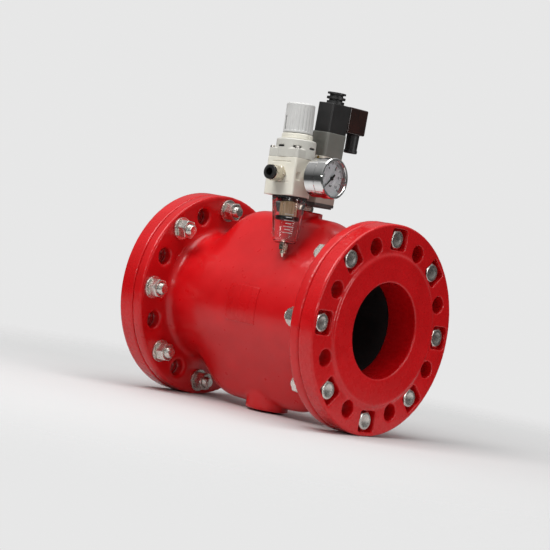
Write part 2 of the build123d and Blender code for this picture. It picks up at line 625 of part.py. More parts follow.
def gauge_pointer():
    """Pointer on its spindle, at the zero stop, lower left of the dial."""
    plane = Plane(origin=(DIAL_X + 0.7, 0, 0), x_dir=(0, 1, 0), z_dir=(1, 0, 0))
    blade = make_face(plane * Polyline((-6.0, 1.1), (-6.0, -1.1), (0, -0.9), (14.5, -0.25), (14.5, 0.25),
                                       (0, 0.9), close=True))
    flat = Rot(POINTER_REST, 0, 0) * extrude(blade, 0.4)
    return flat + rod_x(2.0, DIAL_X + 0.4, DIAL_X + 1.5) + rod_x(0.8, DIAL_X - 6.0, DIAL_X + 1.0)


def gauge_movement():
    plate = block(DIAL_X - 8.0, DIAL_X - 1.4, -6, 6, -8, 8) - rod_x(0.86, DIAL_X - 9, DIAL_X)
    return plate


def bourdon_tube():
    ring = rod_x(16.0, CASE_BACK + 6.0, CASE_BACK + 10.0) - rod_x(14.0, CASE_BACK + 5, CASE_BACK + 11)
    return ring - block(CASE_BACK + 5, CASE_BACK + 11, -17, 0, -17, 4)


# ---- write every node ---------------------------------------------------------------
save("valve_casing", casing())
outlet_end = end_flange()
save("outlet_flange", outlet_end)
save("inlet_flange", mirrored(outlet_end))
save("rubber_sleeve", sleeve())
save("body_bolts", *both_ends(bolt_at_top()))
save("body_washers", *both_ends(washer_at_top()))
save("body_nuts", *both_ends(nut_at_top()))
save("boss_plug", socket_plug())

save("air_nipple", air_nipple())
save("base_plate", base_plate())
save("poppet_housing", housing())
save("cover_plate", cover_plate())
save("cover_screws", cover_screw(COVER_SCREW_Y), cover_screw(-COVER_SCREW_Y))
save("solenoid_adapter", adapter())
save("armature_tube", armature_tube())
save("plunger", plunger())
save("plunger_spring", Pos(COIL_X, 0, 0) * helix_spring(1.9, 0.35, 204.05, 213.95, 6))
save("poppet", poppet())
save("poppet_spring", Pos(COIL_X, 0, 0) * helix_spring(4.4, 0.5, 128.05, 144.95, 5))
save("override_button", override_button())
save("coil", coil())
save("coil_nut", coil_nut())
save("connector_gasket", block(COIL_X - 9.5, COIL_X + 9.5, 14.55, CONNECTOR_Y0 - 0.05, 199, 223.5)
     - rod_y(1.8, 14, 17, COIL_X, CONNECTOR_SCREW_Z))
save("plug_connector", connector())
save("connector_screw", connector_screw())
save("gland_nut", gland_nut())
save("gland_seal", gland_seal())

save("outlet_nipple", outlet_nipple())
REGULATOR_PIECES = {
    "regulator_body": regulator_body,
    "regulator_bonnet": bonnet,
    "panel_nut": panel_nut,
    "regulator_knob": knob,
    "adjusting_screw": adjusting_screw,
    "spring_seat": spring_seat,
    "diaphragm": diaphragm,
    "regulator_poppet": regulator_poppet,
    "filter_element": filter_element,
    "deflector": deflector,
    "baffle": baffle,
    "filter_bowl": bowl,
    "bowl_seal": bowl_seal,
    "drain_seat": drain_seat,
    "drain_cock": drain_cock,
    "inlet_fitting": inlet_fitting,
    "release_ring": release_ring,
    "tube_seal": tube_seal,
    "gauge_stem": gauge_stem,
    "gauge_case": gauge_case,
    "gauge_bezel": gauge_bezel,
    "gauge_lens": gauge_lens,
    "gauge_dial": gauge_dial,
    "gauge_pointer": gauge_pointer,
    "gauge_movement": gauge_movement,
    "bourdon_tube": bourdon_tube,
}
for name, make in REGULATOR_PIECES.items():
    save(name, REGULATOR * make())
save("bonnet_screws", *[REGULATOR * bonnet_screw(x) for x in (-BONNET_SCREW_X, BONNET_SCREW_X)])
save("regulator_poppet_spring", REGULATOR * helix_spring(2.2, 0.35, POPPET_SPRING_Z0 + 0.05, -8.05, 4))
save("setting_spring", REGULATOR * helix_spring(7.6, 1.2, BODY_TOP + 2.65, 33.15, 3))
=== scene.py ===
import json
import math

import bmesh
import bpy
from mathutils import Matrix, Vector, noise


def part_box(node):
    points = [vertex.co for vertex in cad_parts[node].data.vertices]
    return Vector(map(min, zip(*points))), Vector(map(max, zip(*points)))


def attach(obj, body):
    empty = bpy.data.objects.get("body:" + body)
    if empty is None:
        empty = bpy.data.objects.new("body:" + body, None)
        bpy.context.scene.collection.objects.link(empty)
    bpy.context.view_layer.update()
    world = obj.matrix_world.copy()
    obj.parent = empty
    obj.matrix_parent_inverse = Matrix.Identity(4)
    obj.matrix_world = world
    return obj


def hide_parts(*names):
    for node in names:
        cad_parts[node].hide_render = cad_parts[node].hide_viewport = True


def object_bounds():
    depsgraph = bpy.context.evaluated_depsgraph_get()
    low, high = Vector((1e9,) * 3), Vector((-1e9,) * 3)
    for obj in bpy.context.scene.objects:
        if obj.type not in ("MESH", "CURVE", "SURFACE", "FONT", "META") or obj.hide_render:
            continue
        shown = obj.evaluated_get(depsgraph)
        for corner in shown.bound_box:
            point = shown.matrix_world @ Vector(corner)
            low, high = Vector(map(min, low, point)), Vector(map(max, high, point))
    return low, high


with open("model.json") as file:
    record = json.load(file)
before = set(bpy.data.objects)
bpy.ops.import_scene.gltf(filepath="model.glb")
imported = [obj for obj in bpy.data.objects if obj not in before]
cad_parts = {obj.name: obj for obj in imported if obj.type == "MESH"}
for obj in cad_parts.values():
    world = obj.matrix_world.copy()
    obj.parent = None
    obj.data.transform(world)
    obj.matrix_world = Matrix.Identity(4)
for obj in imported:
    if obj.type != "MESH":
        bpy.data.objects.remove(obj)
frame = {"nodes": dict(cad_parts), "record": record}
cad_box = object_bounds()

MM = 0.001
nodes = frame["nodes"]
scene = bpy.context.scene
joints = {joint["name"]: joint for joint in frame["record"]["behaviour"]["joints"]}


# ---- camera, light and floor ---------------------------------------------------------
CAMERA_AZIMUTH = math.radians(41.65)
CAMERA_ELEVATION = math.radians(0.99)
CAMERA_ROLL = math.radians(10.1)
CAMERA_DISTANCE = 2.259
CAMERA_TARGET = Vector((-0.0124, -0.0102, 0.0353))
CAMERA_LENS = 138.7
CAMERA_SENSOR = 36.0
CAMERA_CLIP = 0.05
LIGHT_TARGET = Vector((0, 0, 0.05))
BACKDROP_GREY = 0.80
ROOM_GREY = 0.05
CEILING_GREY = 0.50
CEILING_START = 0.85
FLOOR_HALF = 6.0
FLOOR_FADE_START = 0.22
FLOOR_FADE_END = 0.85


def direction(azimuth, elevation):
    """Unit vector that a camera at this azimuth and elevation looks along."""
    flat = math.cos(elevation)
    return Vector((-math.sin(azimuth) * flat, math.cos(azimuth) * flat, -math.sin(elevation)))


def aim(obj, place, forward, roll=0.0):
    """Puts a camera or light at a place, looking along forward and rolled about that line."""
    turn = forward.to_track_quat("-Z", "Y").to_matrix().to_4x4()
    obj.matrix_world = Matrix.Translation(place) @ turn @ Matrix.Rotation(roll, 4, "Z")


def grey(level):
    return level, level, level, 1.0


def make_camera():
    data = bpy.data.cameras.new("camera")
    data.lens = CAMERA_LENS
    data.sensor_width = CAMERA_SENSOR
    data.clip_start = CAMERA_CLIP
    camera = bpy.data.objects.new("camera", data)
    scene.collection.objects.link(camera)
    forward = direction(CAMERA_AZIMUTH, CAMERA_ELEVATION)
    aim(camera, CAMERA_TARGET - forward * CAMERA_DISTANCE, forward, CAMERA_ROLL)
    scene.camera = camera


def soft_box(name, azimuth, elevation, distance, width, height, power):
    """A rectangular studio light aimed at the object from that side."""
    data = bpy.data.lights.new(name, "AREA")
    data.shape = "RECTANGLE"
    data.size = width
    data.size_y = height
    data.energy = power
    light = bpy.data.objects.new(name, data)
    scene.collection.objects.link(light)
    forward = direction(math.radians(azimuth), math.radians(elevation))
    aim(light, LIGHT_TARGET - forward * distance, forward)


def make_world():
    """Pale backdrop for the camera; for light and reflections, a dim room under a pale ceiling."""
    world = bpy.data.worlds.new("studio")
    world.use_nodes = True
    tree = world.node_tree
    output = tree.nodes["World Output"]
    room = tree.nodes["Background"]
    backdrop = tree.nodes.new("ShaderNodeBackground")
    backdrop.inputs["Color"].default_value = grey(BACKDROP_GREY)
    coords = tree.nodes.new("ShaderNodeTexCoord")
    split = tree.nodes.new("ShaderNodeSeparateXYZ")
    tree.links.new(coords.outputs["Generated"], split.inputs["Vector"])
    ramp = tree.nodes.new("ShaderNodeValToRGB")
    ramp.color_ramp.elements[0].position = 0.0
    ramp.color_ramp.elements[0].color = grey(ROOM_GREY)
    ramp.color_ramp.elements[1].position = CEILING_START
    ramp.color_ramp.elements[1].color = grey(CEILING_GREY)
    tree.links.new(split.outputs["Z"], ramp.inputs["Fac"])
    tree.links.new(ramp.outputs["Color"], room.inputs["Color"])
    path = tree.nodes.new("ShaderNodeLightPath")
    mix = tree.nodes.new("ShaderNodeMixShader")
    tree.links.new(path.outputs["Is Camera Ray"], mix.inputs["Fac"])
    tree.links.new(room.outputs["Background"], mix.inputs[1])
    tree.links.new(backdrop.outputs["Background"], mix.inputs[2])
    tree.links.new(mix.outputs["Shader"], output.inputs["Surface"])
    scene.world = world


def make_studio():
    make_world()
    # name, azimuth, elevation, distance, width, height, power
    soft_box("key", 350, 50, 1.5, 0.7, 0.7, 14)
    soft_box("side", 95, 12, 1.8, 0.30, 1.0, 7)
    soft_box("strip", 20, 10, 1.9, 1.6, 0.12, 4)
    soft_box("top", 60, 80, 1.4, 1.2, 0.8, 10)
    scene.view_settings.view_transform = "Standard"

    mesh = bpy.data.meshes.new("floor")
    ground = cad_box[0][2]
    corners = [(x * FLOOR_HALF, y * FLOOR_HALF, ground) for x, y in ((-1, -1), (1, -1), (1, 1), (-1, 1))]
    mesh.from_pydata(corners, [], [(0, 1, 2, 3)])
    floor = bpy.data.objects.new("floor", mesh)
    scene.collection.objects.link(floor)
    mesh.materials.append(floor_paint())


# ---- materials -----------------------------------------------------------------------
NOISE_LOW = 0.3                      # most noise values lie between these two
NOISE_HIGH = 0.7
METAL_GRAIN_DEPTH = 0.00002


class Shader:
    """One node material, with short calls that add and link its nodes."""

    def __init__(self, name, **settings):
        self.material = bpy.data.materials.new(name)
        self.material.use_nodes = True
        self.tree = self.material.node_tree
        self.surface = self.tree.nodes["Principled BSDF"]
        self.coords = self.tree.nodes.new("ShaderNodeTexCoord").outputs["Object"]
        self.height = None
        for socket, value in settings.items():
            self.surface.inputs[socket.replace("_", " ")].default_value = value

    def node(self, kind, **settings):
        made = self.tree.nodes.new(kind)
        for name, value in settings.items():
            setattr(made, name, value)
        return made

    def link(self, source, target):
        self.tree.links.new(source, target)

    def stretched(self, factors):
        """Object coordinates scaled along each axis, for grain that runs one way."""
        mapping = self.node("ShaderNodeMapping")
        mapping.inputs["Scale"].default_value = factors
        self.link(self.coords, mapping.inputs["Vector"])
        return mapping.outputs["Vector"]

    def noise(self, size, detail=3.0, vector=None):
        """Noise whose blotches are about size metres across."""
        texture = self.node("ShaderNodeTexNoise")
        texture.inputs["Scale"].default_value = 1.0 / size
        texture.inputs["Detail"].default_value = detail
        self.link(vector or self.coords, texture.inputs["Vector"])
        return texture.outputs["Fac"]

    def cells(self, size):
        """Distance to the nearest of many grains about size metres apart."""
        texture = self.node("ShaderNodeTexVoronoi")
        texture.inputs["Scale"].default_value = 1.0 / size
        self.link(self.coords, texture.inputs["Vector"])
        return texture.outputs["Distance"]

    def blend(self, factor, low, high):
        """Colour that goes from low to high over the middle of the factor's range."""
        ramp = self.node("ShaderNodeValToRGB")
        ramp.color_ramp.elements[0].position = NOISE_LOW
        ramp.color_ramp.elements[0].color = (*low, 1.0)
        ramp.color_ramp.elements[1].position = NOISE_HIGH
        ramp.color_ramp.elements[1].color = (*high, 1.0)
        self.link(factor, ramp.inputs["Fac"])
        return ramp.outputs["Color"]

    def spread(self, factor, low, high):
        """Number that goes from low to high over the middle of the factor's range."""
        span = self.node("ShaderNodeMapRange")
        span.inputs["From Min"].default_value = NOISE_LOW
        span.inputs["From Max"].default_value = NOISE_HIGH
        span.inputs["To Min"].default_value = low
        span.inputs["To Max"].default_value = high
        self.link(factor, span.inputs["Value"])
        return span.outputs["Result"]

    def colour(self, source):
        self.link(source, self.surface.inputs["Base Color"])

    def roughness(self, source):
        self.link(source, self.surface.inputs["Roughness"])

    def bump(self, height, depth, strength):
        """Adds relief of that depth in metres, on top of any relief added before."""
        relief = self.node("ShaderNodeBump")
        relief.inputs["Strength"].default_value = strength
        relief.inputs["Distance"].default_value = depth
        self.link(height, relief.inputs["Height"])
        if self.height is not None:
            self.link(self.height, relief.inputs["Normal"])
        self.height = relief.outputs["Normal"]
        self.link(self.height, self.surface.inputs["Normal"])


def floor_paint():
    """Pale floor that fades into the backdrop well before its edge."""
    shader = Shader("floor_paint", Roughness=0.9)
    shader.colour(shader.blend(shader.noise(0.5), (0.63, 0.63, 0.63), (0.65, 0.65, 0.65)))
    length = shader.node("ShaderNodeVectorMath", operation="LENGTH")
    shader.link(shader.coords, length.inputs[0])
    fade = shader.node("ShaderNodeMapRange", interpolation_type="SMOOTHSTEP")
    fade.inputs["From Min"].default_value = FLOOR_FADE_START
    fade.inputs["From Max"].default_value = FLOOR_FADE_END
    shader.link(length.outputs["Value"], fade.inputs["Value"])
    mix = shader.node("ShaderNodeMixShader")
    shader.link(fade.outputs["Result"], mix.inputs["Fac"])
    shader.link(shader.surface.outputs["BSDF"], mix.inputs[1])
    shader.link(shader.node("ShaderNodeBsdfTransparent").outputs["BSDF"], mix.inputs[2])
    shader.link(mix.outputs["Shader"], shader.tree.nodes["Material Output"].inputs["Surface"])
    return shader.material


def red_enamel(name, rough_low, rough_high):
    """Gloss red enamel, its colour and gloss a little uneven; the casting's relief is in the mesh."""
    shader = Shader(name, Coat_Weight=0.25, Coat_Roughness=0.10, Specular_IOR_Level=0.35)
    shader.colour(shader.blend(shader.noise(0.03, 4), (0.53, 0.002, 0.004), (0.61, 0.004, 0.007)))
    shader.roughness(shader.spread(shader.noise(0.008, 3), rough_low, rough_high))
    return shader.material


def metal(name, dark, light, rough_low, rough_high, grain=0.0004):
    """Bare or plated metal with a fine tooling grain."""
    shader = Shader(name, Metallic=1.0)
    shader.colour(shader.blend(shader.noise(0.006, 4), dark, light))
    shader.roughness(shader.spread(shader.noise(grain * 4, 4), rough_low, rough_high))
    shader.bump(shader.noise(grain, 3), METAL_GRAIN_DEPTH, 0.4)
    return shader.material


def moulded(name, low, high, rough_low, rough_high, depth=0.00003, size=0.0006, **settings):
    """Moulded plastic or satin paint with a fine texture."""
    shader = Shader(name, **settings)
    shader.colour(shader.blend(shader.noise(0.02, 4), low, high))
    shader.roughness(shader.spread(shader.noise(0.003, 4), rough_low, rough_high))
    shader.bump(shader.noise(size, 3), depth, 0.4)
    return shader.material


def sintered():
    """Porous filter element, with faint streaks along its height."""
    shader = Shader("sintered_element", Roughness=0.85)
    streaks = shader.noise(0.0016, 4, shader.stretched((1.0, 1.0, 0.12)))
    shader.colour(shader.blend(streaks, (0.66, 0.42, 0.22), (0.92, 0.70, 0.46)))
    shader.bump(shader.cells(0.0005), 0.0002, 0.8)
    shader.bump(shader.noise(0.0016, 4), 0.0002, 0.5)
    return shader.material


def clear(name, tint, roughness, size):
    """Clear moulded plastic or glass, a little uneven."""
    shader = Shader(name, Transmission_Weight=1.0, IOR=1.45, Base_Color=(*tint, 1.0))
    shader.roughness(shader.spread(shader.noise(size, 3), roughness, roughness + 0.03))
    shader.bump(shader.noise(size, 2), 0.0001, 0.15)
    return shader.material


def make_materials():
    cream = {"Coat_Weight": 0.2, "Coat_Roughness": 0.15}
    smoked = {"Coat_Weight": 0.6, "Coat_Roughness": 0.05}
    return {
        "red_cast": red_enamel("red_cast", 0.27, 0.36),
        "red_machined": red_enamel("red_machined", 0.24, 0.31),
        "sleeve": moulded("sleeve_rubber", (0.010, 0.010, 0.010), (0.022, 0.021, 0.021), 0.45, 0.62,
                          0.0002, 0.002),
        "stainless": metal("stainless", (0.62, 0.59, 0.55), (0.74, 0.71, 0.66), 0.22, 0.36),
        "nickel": metal("nickel", (0.52, 0.47, 0.38), (0.70, 0.65, 0.56), 0.14, 0.30),
        "chrome": metal("chrome", (0.78, 0.78, 0.77), (0.86, 0.86, 0.85), 0.03, 0.09, 0.002),
        "brass": metal("brass", (0.55, 0.38, 0.14), (0.72, 0.52, 0.22), 0.2, 0.35),
        "spring": metal("spring_wire", (0.30, 0.30, 0.31), (0.45, 0.45, 0.46), 0.25, 0.4),
        "cream": moulded("cream_paint", (0.78, 0.75, 0.65), (0.84, 0.81, 0.71), 0.30, 0.42, **cream),
        # cream paint darkened to taupe: painted shade for the poppet block lying in the gauge's shadow
        "painted_shade_cream": moulded("taupe_paint", (0.34, 0.28, 0.24), (0.42, 0.36, 0.31), 0.35, 0.5),
        "light_grey": moulded("light_grey_plastic", (0.58, 0.58, 0.565), (0.64, 0.64, 0.625), 0.40, 0.52),
        "warm_grey": moulded("warm_grey_plastic", (0.56, 0.55, 0.50), (0.62, 0.61, 0.56), 0.38, 0.52),
        "dark_grey": moulded("dark_grey_paint", (0.055, 0.050, 0.048), (0.085, 0.080, 0.076), 0.35, 0.5),
        "adapter": moulded("adapter_grey", (0.165, 0.168, 0.148), (0.195, 0.198, 0.178), 0.42, 0.55),
        "black": moulded("black_plastic", (0.013, 0.013, 0.013), (0.024, 0.023, 0.023), 0.38, 0.55),
        "smoked": moulded("smoked_plastic", (0.016, 0.006, 0.004), (0.035, 0.010, 0.007), 0.10, 0.2,
                          0.00002, 0.002, **smoked),
        "seal": moulded("nitrile_seal", (0.010, 0.010, 0.010), (0.018, 0.018, 0.018), 0.5, 0.65),
        "sintered": sintered(),
        "bowl": clear("clear_bowl", (0.97, 0.975, 0.975), 0.01, 0.006),
        "lens": clear("clear_lens", (0.98, 0.985, 0.985), 0.0, 0.02),
        "dial": moulded("dial_face", (0.90, 0.92, 0.95), (0.94, 0.96, 0.98), 0.5, 0.6),
        "pointer": moulded("pointer_enamel", (0.012, 0.012, 0.012), (0.02, 0.02, 0.02), 0.35, 0.45),
        "print_white": moulded("white_print", (0.80, 0.80, 0.80), (0.88, 0.88, 0.88), 0.5, 0.6),
        "print_black": moulded("black_print", (0.015, 0.015, 0.02), (0.03, 0.03, 0.035), 0.5, 0.6),
        "print_red": moulded("red_print", (0.55, 0.02, 0.02), (0.65, 0.03, 0.03), 0.5, 0.6),
    }


FINISH = {
    "valve_casing": "red_cast", "inlet_flange": "red_machined", "outlet_flange": "red_machined",
    "rubber_sleeve": "sleeve", "body_bolts": "stainless", "body_washers": "stainless",
    "body_nuts": "stainless", "boss_plug": "stainless", "air_nipple": "nickel",
    "base_plate": "dark_grey", "poppet_housing": "painted_shade_cream", "cover_plate": "cream",
    # the poppet housing takes the darkened cream, painted shade under the gauge
    "cover_screws": "stainless", "override_button": "brass", "solenoid_adapter": "adapter",
    "armature_tube": "stainless", "plunger": "stainless", "plunger_spring": "spring",
    "poppet": "brass", "poppet_spring": "spring", "coil": "black", "coil_nut": "black",
    "connector_gasket": "seal", "plug_connector": "smoked", "connector_screw": "stainless",
    "gland_nut": "black", "gland_seal": "seal", "outlet_nipple": "nickel",
    "regulator_body": "cream", "regulator_bonnet": "warm_grey", "bonnet_screws": "stainless",
    "panel_nut": "cream", "regulator_knob": "light_grey", "adjusting_screw": "brass",
    "spring_seat": "brass", "setting_spring": "spring", "diaphragm": "seal",
    "regulator_poppet": "brass", "regulator_poppet_spring": "spring", "filter_element": "sintered",
    "deflector": "black", "baffle": "black", "filter_bowl": "bowl", "bowl_seal": "seal",
    "drain_seat": "nickel", "drain_cock": "nickel", "inlet_fitting": "nickel",
    "release_ring": "black", "tube_seal": "seal", "gauge_stem": "nickel", "gauge_case": "chrome",
    "gauge_bezel": "chrome", "gauge_lens": "lens", "gauge_dial": "dial", "gauge_pointer": "pointer",
    "gauge_movement": "brass", "bourdon_tube": "brass",
}


def dress(materials):
    """Gives every CAD node its finish."""
    for name, finish in FINISH.items():
        mesh = nodes[name].data
        mesh.materials.clear()
        mesh.materials.append(materials[finish])


def add_piece(name, mesh, material, body, replaced=()):
    """Puts a finished mesh in the scene as a piece on its body."""
    piece = bpy.data.objects.new(name, mesh)
    scene.collection.objects.link(piece)
    mesh.materials.clear()
    mesh.materials.append(material)
    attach(piece, body)
    if replaced:
        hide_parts(*replaced)
    return piece


def shade(mesh, angle=40.0):
    """Smooth shading with creases where faces meet at more than that angle."""
    mesh.shade_smooth()
    mesh.set_sharp_from_angle(angle=math.radians(angle))


def mesh_of(bm, name, angle=40.0):
    """Turns a finished bmesh into a shaded mesh and frees it."""
    bmesh.ops.recalc_face_normals(bm, faces=bm.faces)
    mesh = bpy.data.meshes.new(name)
    bm.to_mesh(mesh)
    bm.free()
    shade(mesh, angle)
    return mesh


WAVE_SIZE = 18.0
WAVE_MEAN = 0.65
WAVE_SPAN = 0.35


def modified(mesh, *steps):
    """The mesh after modifiers, each given as (kind, settings)."""
    helper = bpy.data.objects.new("helper", mesh)
    scene.collection.objects.link(helper)
    for kind, settings in steps:
        modifier = helper.modifiers.new(kind, kind)
        for key, value in settings.items():
            setattr(modifier, key, value)
    depsgraph = bpy.context.evaluated_depsgraph_get()
    result = bpy.data.meshes.new_from_object(helper.evaluated_get(depsgraph))
    bpy.data.objects.remove(helper)
    return result


def softened(node, name, material, voxel, rounds, body="valve", keep=1.0, wave=0.0):
    """Piece that copies a CAD node with its edges rounded over; wave sinks its surface unevenly, in mm."""
    bm = bmesh.new()
    bm.from_mesh(nodes[node].data)
    bmesh.ops.remove_doubles(bm, verts=bm.verts, dist=1e-6)
    mesh = bpy.data.meshes.new(name)
    bm.to_mesh(mesh)
    bm.free()
    steps = [("REMESH", {"mode": "VOXEL", "voxel_size": voxel * MM}),
             ("SMOOTH", {"factor": 0.5, "iterations": rounds})]
    if keep < 1.0:
        steps.append(("DECIMATE", {"ratio": keep}))
    result = modified(mesh, *steps)
    if wave:
        normals = [vertex.normal.copy() for vertex in result.vertices]
        for vertex, normal in zip(result.vertices, normals):
            sunk = WAVE_MEAN + WAVE_SPAN * noise.noise(vertex.co / (WAVE_SIZE * MM))
            vertex.co -= normal * sunk * wave * MM
    result.shade_smooth()
    return add_piece(name, result, material, body, [node])


def rounded(outline, radius, steps=3):
    """Closed (radius, height) outline whose corners are curves of about that radius."""
    points = []
    for i, corner in enumerate(outline):
        here = Vector(corner)
        before = Vector(outline[i - 1])
        after = Vector(outline[(i + 1) % len(outline)])
        reach = min(radius, (before - here).length * 0.45, (after - here).length * 0.45)
        start = here + (before - here).normalized() * reach
        end = here + (after - here).normalized() * reach
        for k in range(steps + 1):
            t = k / steps
            points.append((1 - t) ** 2 * start + 2 * t * (1 - t) * here + t * t * end)
    return points


# ---- local frames, in millimetres ----------------------------------------------------
def local_frame(origin, across, along, up):
    """Matrix from millimetres along three directions to metres in the frame."""
    turn = Matrix((across, along, up)).transposed().to_4x4()
    return Matrix.Translation(origin) @ turn @ Matrix.Scale(MM, 4)


ACROSS = -Vector(joints["gauge_reading"]["axis"])
UP = Vector(joints["regulator_turn"]["axis"])
BACK = Vector((0, 1, 0))
DIAL_OUT = 52.0                      # dial face to the regulator's port centre, mm
PORT_CENTRE = Vector(joints["gauge_reading"]["pos_m"]) - ACROSS * DIAL_OUT * MM
REGULATOR = local_frame(PORT_CENTRE, ACROSS, BACK, UP)
GAUGE = local_frame(PORT_CENTRE, BACK, UP, ACROSS)


# ---- body bolts, nuts and washers ----------------------------------------------------
# in millimetres; places along the pipe are measured from its middle
HEX_AF = 18.0
HEAD_H = 7.5
NUT_H = 10.8
SHANK_R = 5.9
THREAD_PITCH = 1.75
THREAD_DEPTH = 0.95
BOLT_TIP = 88.0
BOLTS_PER_END = 8
SHANK_END = 96.0
THREAD_TOP = 95.5
THREAD_ROWS = 8                      # rows of points in one turn of the thread
THREAD_RUN_IN = 1.2                  # length of the tapered start, in pitches
THREAD_TAPER = 0.35
TIP_CHAMFER = 1.5
TIP_BEVEL = 0.5
DISH_R = 4.6
DISH_RIM_R = 5.2
DISH_DEPTH = 0.35
DISH_RIM_DEPTH = 0.08
NUT_CHAMFER = 0.9
NUT_CLEARANCE = 0.02
WASHER_CLEARANCE = 0.7
WASHER_EDGE = 0.35
WASHER_STEPS = 48
BOLT_TURN = 17                       # each fastener is turned this much more than the last, degrees
END_TURN = 9
FLAT_SHARE = 0.94                    # round flat on a head's end, as a share of its half width
CORNER_SHARE = 0.988
CHAMFER_SLOPE = math.tan(math.radians(30))
PLAIN_DROP = 0.25
END_MIDDLE = 0.7                     # where an end's middle row lies, from the hole out to the flat's edge
END_EASE = 0.15                      # the small curves where the end, the chamfer and the sides meet
END_EASE_OUT = 0.1
END_EASE_DROP = 0.07
SIDE_EASE = 0.22
SIDE_EASE_RISE = 0.1
SIDE_EASE_DROP = 0.12
WASHER_T = 2.5
WASHER_R = 12.0
BOLT_CIRCLE_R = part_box("body_washers")[1][2] / MM - WASHER_R
HEAD_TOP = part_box("body_bolts")[1][0] / MM
CASING_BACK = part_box("body_washers")[1][0] / MM
HEX_STEPS = 60


def constant(value):
    """A radius or height that is the same all the way round."""
    return lambda angle: value


def hex_radius(angle, across_flats):
    """Distance to the side of a hexagon whose corners are slightly rounded."""
    sector = math.radians(60)
    off = (angle + sector / 2) % sector - sector / 2
    return min(across_flats / 2 / math.cos(off), across_flats / math.sqrt(3) * CORNER_SHARE)


def hex_rows(across_flats, z0, z1, inner, chamfered=(True, True)):
    """Rows of (radius function, height function) down a hexagon's outside, top to bottom."""
    flat = across_flats / 2 * FLAT_SHARE

    def corner(angle):
        return hex_radius(angle, across_flats)

    def drop(angle):
        return (corner(angle) - flat) * CHAMFER_SLOPE

    top_drop = drop if chamfered[0] else constant(PLAIN_DROP)
    low_drop = drop if chamfered[1] else constant(PLAIN_DROP)
    middle = flat * END_MIDDLE + inner * (1 - END_MIDDLE)
    return [
        (constant(inner), constant(z1)),
        (constant(middle), constant(z1)),
        (constant(flat - END_EASE), constant(z1)),
        (constant(flat + END_EASE_OUT), constant(z1 - END_EASE_DROP)),
        (lambda a: corner(a) - SIDE_EASE, lambda a: z1 - top_drop(a) + SIDE_EASE_RISE),
        (corner, lambda a: z1 - top_drop(a) - SIDE_EASE_DROP),
        (corner, lambda a: z0 + low_drop(a) + SIDE_EASE_DROP),
        (lambda a: corner(a) - SIDE_EASE, lambda a: z0 + low_drop(a) - SIDE_EASE_RISE),
        (constant(flat + END_EASE_OUT), constant(z0 + END_EASE_DROP)),
        (constant(flat - END_EASE), constant(z0)),
        (constant(inner), constant(z0)),
    ]


def skin(bm, rows, place, count, closed=False):
    """Skins rows of (radius, height) functions of the angle about place's Z; a radius of 0 is a pole."""
    rings = []
    for radius, height in rows:
        ring = []
        for k in range(count):
            angle = 2 * math.pi * k / count
            if radius(angle) < 1e-6:
                ring = [bm.verts.new(place @ Vector((0, 0, height(0))))] * count
                break
            ring.append(bm.verts.new(place @ Vector((radius(angle) * math.cos(angle),
                                                     radius(angle) * math.sin(angle), height(angle)))))
        rings.append(ring)
    last = len(rings) if closed else len(rings) - 1
    for i in range(last):
        upper, lower = rings[i], rings[(i + 1) % len(rings)]
        for k in range(count):
            j = (k + 1) % count
            corners = list(dict.fromkeys((upper[k], upper[j], lower[j], lower[k])))
            if len(corners) > 2:
                bm.faces.new(corners)


def thread_rows(z0, z1):
    """Rows of a screw thread from z1 down to z0, with a tapered start at z0."""
    count = int((z1 - z0) / THREAD_PITCH * THREAD_ROWS)
    rows = []
    for i in range(count + 1):
        z = z1 - (z1 - z0) * i / count
        rise = min(1.0, (z - z0) / (THREAD_RUN_IN * THREAD_PITCH))

        def at(angle, z=z, rise=rise):
            phase = (z / THREAD_PITCH - angle / (2 * math.pi)) % 1.0
            ridge = 1.0 - abs(2.0 * phase - 1.0)
            return SHANK_R - THREAD_DEPTH * (1.0 - ridge) - THREAD_TAPER * (1.0 - rise)

        rows.append((at, lambda angle, z=z: z))
    return rows


def bolt_rows():
    """One bolt along +Z, its head's top at HEAD_TOP and its tip at BOLT_TIP."""
    seat = HEAD_TOP - HEAD_H
    head = hex_rows(HEX_AF, seat, HEAD_TOP, 0.0, (True, False))[:-1]
    dished = [(constant(0.0), constant(HEAD_TOP - DISH_DEPTH)),
              (constant(DISH_R), constant(HEAD_TOP - DISH_DEPTH)),
              (constant(DISH_RIM_R), constant(HEAD_TOP - DISH_RIM_DEPTH))]
    shank = [(constant(SHANK_R), constant(seat)), (constant(SHANK_R), constant(SHANK_END))]
    thread = thread_rows(BOLT_TIP + TIP_BEVEL, THREAD_TOP)
    tip = [(constant(SHANK_R - TIP_CHAMFER), constant(BOLT_TIP)), (constant(0.0), constant(BOLT_TIP))]
    return dished + head[2:] + shank + thread + tip


def nut_rows():
    """One nut along +Z, its outer face against the washer."""
    z1 = CASING_BACK - WASHER_T
    z0 = z1 - NUT_H
    bore = SHANK_R + NUT_CLEARANCE
    body = hex_rows(HEX_AF, z0, z1, bore + NUT_CHAMFER)
    hole = [(constant(bore), constant(z0 + NUT_CHAMFER)), (constant(bore), constant(z1 - NUT_CHAMFER))]
    return body + hole


def washer_outline():
    """Corners of a washer's section, as (radius, place along the bolt)."""
    hole = SHANK_R + WASHER_CLEARANCE
    under = CASING_BACK - WASHER_T
    return [(hole, under), (WASHER_R, under), (WASHER_R, CASING_BACK), (hole, CASING_BACK)]


def bolt_places():
    """Frames whose Z runs along the pipe and whose origin is on each bolt's axis, both ends."""
    for end in (1, -1):
        for k in range(BOLTS_PER_END):
            angle = 2 * math.pi * k / BOLTS_PER_END
            centre = Vector((0, math.sin(angle), math.cos(angle))) * BOLT_CIRCLE_R * MM
            out = Vector((end, 0, 0))
            radial = Vector((0, math.sin(angle), math.cos(angle)))
            spin = Matrix.Rotation(math.radians(BOLT_TURN * k + END_TURN * end), 4, "Z")
            yield local_frame(centre, radial, out.cross(radial), out) @ spin


